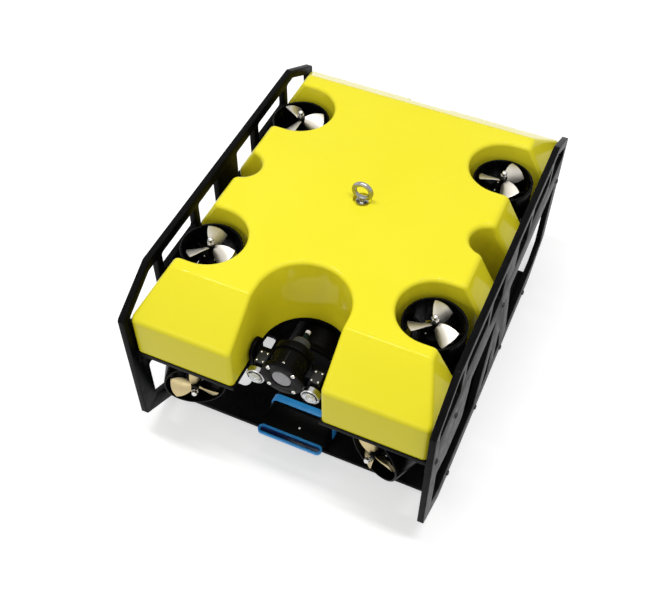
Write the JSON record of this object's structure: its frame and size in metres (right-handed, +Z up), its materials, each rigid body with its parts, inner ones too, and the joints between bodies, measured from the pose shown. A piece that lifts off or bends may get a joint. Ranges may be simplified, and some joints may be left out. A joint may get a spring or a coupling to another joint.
{
  "type": "underwater inspection rov",
  "caption": "Underwater inspection ROV: foam buoyancy block on open side frames, ducted lifting and toed-in thrusters, tilting camera head with lamps, bow sensor pod and lifting eye.",
  "frame": {"origin": "centre of the vehicle in plan, on the floor under the lower edges of the side plates", "axes": "+Z up, front (camera end) faces -Y, +X is the starboard side, to the right as seen in the picture"},
  "size_m": [0.5056, 0.664, 0.384],
  "materials": {
    "yellow_foam": "gloss",
    "black_polymer": "matt",
    "nozzle_polymer": "satin",
    "anodised_black": "satin",
    "stainless": "polished",
    "bronze": "polished",
    "blue_polymer": "satin",
    "navy_polymer": "gloss",
    "moulded_rubber": "matt",
    "clear_window": "clear"
  },
  "bodies": {
    "frame": {"side_plate_left": "black_polymer", "side_plate_right": "black_polymer", "float_block": "yellow_foam", "deck_plate": "black_polymer", "floor_plate": "black_polymer", "corner_brackets": "stainless", "frame_screws": "stainless", "deck_screws": "stainless", "lifting_eye": "stainless", "lifting_eye_nut": "stainless", "nozzle_v_fl": "nozzle_polymer", "nozzle_v_fr": "nozzle_polymer", "nozzle_v_rl": "nozzle_polymer", "nozzle_v_rr": "nozzle_polymer", "nozzle_h_fl": "nozzle_polymer", "nozzle_h_fr": "nozzle_polymer", "nozzle_h_rl": "nozzle_polymer", "nozzle_h_rr": "nozzle_polymer", "motors_lifting": "anodised_black", "motors_thrust": "anodised_black", "thruster_saddles": "black_polymer", "thruster_screws": "stainless", "tilt_bracket_left": "black_polymer", "tilt_bracket_right": "black_polymer", "electronics_tube": "anodised_black", "electronics_cap_front": "anodised_black", "electronics_cap_rear": "anodised_black", "cable_glands": "moulded_rubber", "tether_gland": "moulded_rubber", "battery_tube": "anodised_black", "battery_caps": "anodised_black", "tube_cradles": "black_polymer", "pod_housing": "black_polymer", "pod_strap": "blue_polymer", "pod_bezel": "blue_polymer", "pod_window": "navy_polymer"},
    "rotor_v_fl": {"propeller_v_fl": "bronze", "prop_nut_v_fl": "stainless"},
    "rotor_v_fr": {"propeller_v_fr": "bronze", "prop_nut_v_fr": "stainless"},
    "rotor_v_rl": {"propeller_v_rl": "bronze", "prop_nut_v_rl": "stainless"},
    "rotor_v_rr": {"propeller_v_rr": "bronze", "prop_nut_v_rr": "stainless"},
    "rotor_h_fl": {"propeller_h_fl": "bronze", "prop_nut_h_fl": "stainless"},
    "rotor_h_fr": {"propeller_h_fr": "bronze", "prop_nut_h_fr": "stainless"},
    "rotor_h_rl": {"propeller_h_rl": "bronze", "prop_nut_h_rl": "stainless"},
    "rotor_h_rr": {"propeller_h_rr": "bronze", "prop_nut_h_rr": "stainless"},
    "camera_head": {"camera_cradle": "black_polymer", "camera_housing": "anodised_black", "camera_screws": "stainless", "camera_window": "clear_window", "camera_connector": "moulded_rubber", "lamp_housings": "anodised_black", "lamp_lenses": "clear_window"}
  },
  "joints": [
    {"name": "spin_v_fl", "type": "hinge", "parent": "frame", "child": "rotor_v_fl", "pos_m": [-0.1826, -0.162, 0.32], "axis": [0, 0, 1], "continuous": true},
    {"name": "spin_v_fr", "type": "hinge", "parent": "frame", "child": "rotor_v_fr", "pos_m": [0.1826, -0.162, 0.32], "axis": [0, 0, 1], "continuous": true},
    {"name": "spin_v_rl", "type": "hinge", "parent": "frame", "child": "rotor_v_rl", "pos_m": [-0.1826, 0.162, 0.32], "axis": [0, 0, 1], "continuous": true},
    {"name": "spin_v_rr", "type": "hinge", "parent": "frame", "child": "rotor_v_rr", "pos_m": [0.1826, 0.162, 0.32], "axis": [0, 0, 1], "continuous": true},
    {"name": "spin_h_fl", "type": "hinge", "parent": "frame", "child": "rotor_h_fl", "pos_m": [-0.1528, -0.3042, 0.148], "axis": [0.4226, -0.9063, 0], "continuous": true},
    {"name": "spin_h_fr", "type": "hinge", "parent": "frame", "child": "rotor_h_fr", "pos_m": [0.1528, -0.3042, 0.148], "axis": [-0.4226, -0.9063, 0], "continuous": true},
    {"name": "spin_h_rl", "type": "hinge", "parent": "frame", "child": "rotor_h_rl", "pos_m": [-0.1528, 0.3042, 0.148], "axis": [0.4226, 0.9063, 0], "continuous": true},
    {"name": "spin_h_rr", "type": "hinge", "parent": "frame", "child": "rotor_h_rr", "pos_m": [0.1528, 0.3042, 0.148], "axis": [-0.4226, 0.9063, 0], "continuous": true},
    {"name": "camera_tilt", "type": "hinge", "parent": "frame", "child": "camera_head", "pos_m": [0, -0.254, 0.236], "axis": [1, 0, 0], "range_deg": [-30, 30]}
  ]
}
